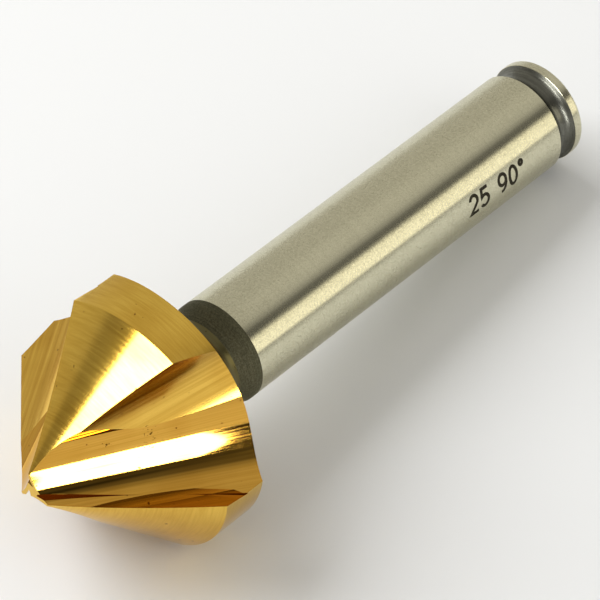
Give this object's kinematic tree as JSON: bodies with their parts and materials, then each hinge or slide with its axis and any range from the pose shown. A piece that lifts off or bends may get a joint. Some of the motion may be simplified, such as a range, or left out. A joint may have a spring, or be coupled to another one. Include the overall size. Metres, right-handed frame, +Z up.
{
  "type": "countersink bit",
  "caption": "Fluted conical countersink bit, gold coated 90 degree cutting head on a straight round steel shank with a retaining groove near its end.",
  "frame": {"origin": "centre of the bounding box's bottom face, on the floor under the bit as it lies", "axes": "+X toward the shank end along the lying bit, +Z up, the cutting head toward -X"},
  "size_m": [0.0672, 0.025, 0.0235],
  "materials": {
    "steel": "ground high speed steel",
    "coating": "satin gold hard coating on the cutting head",
    "oxide": "dark heat treated skin in the neck and the groove"
  },
  "bodies": {
    "root": {"countersink_bit": "steel"}
  },
  "joints": []
}
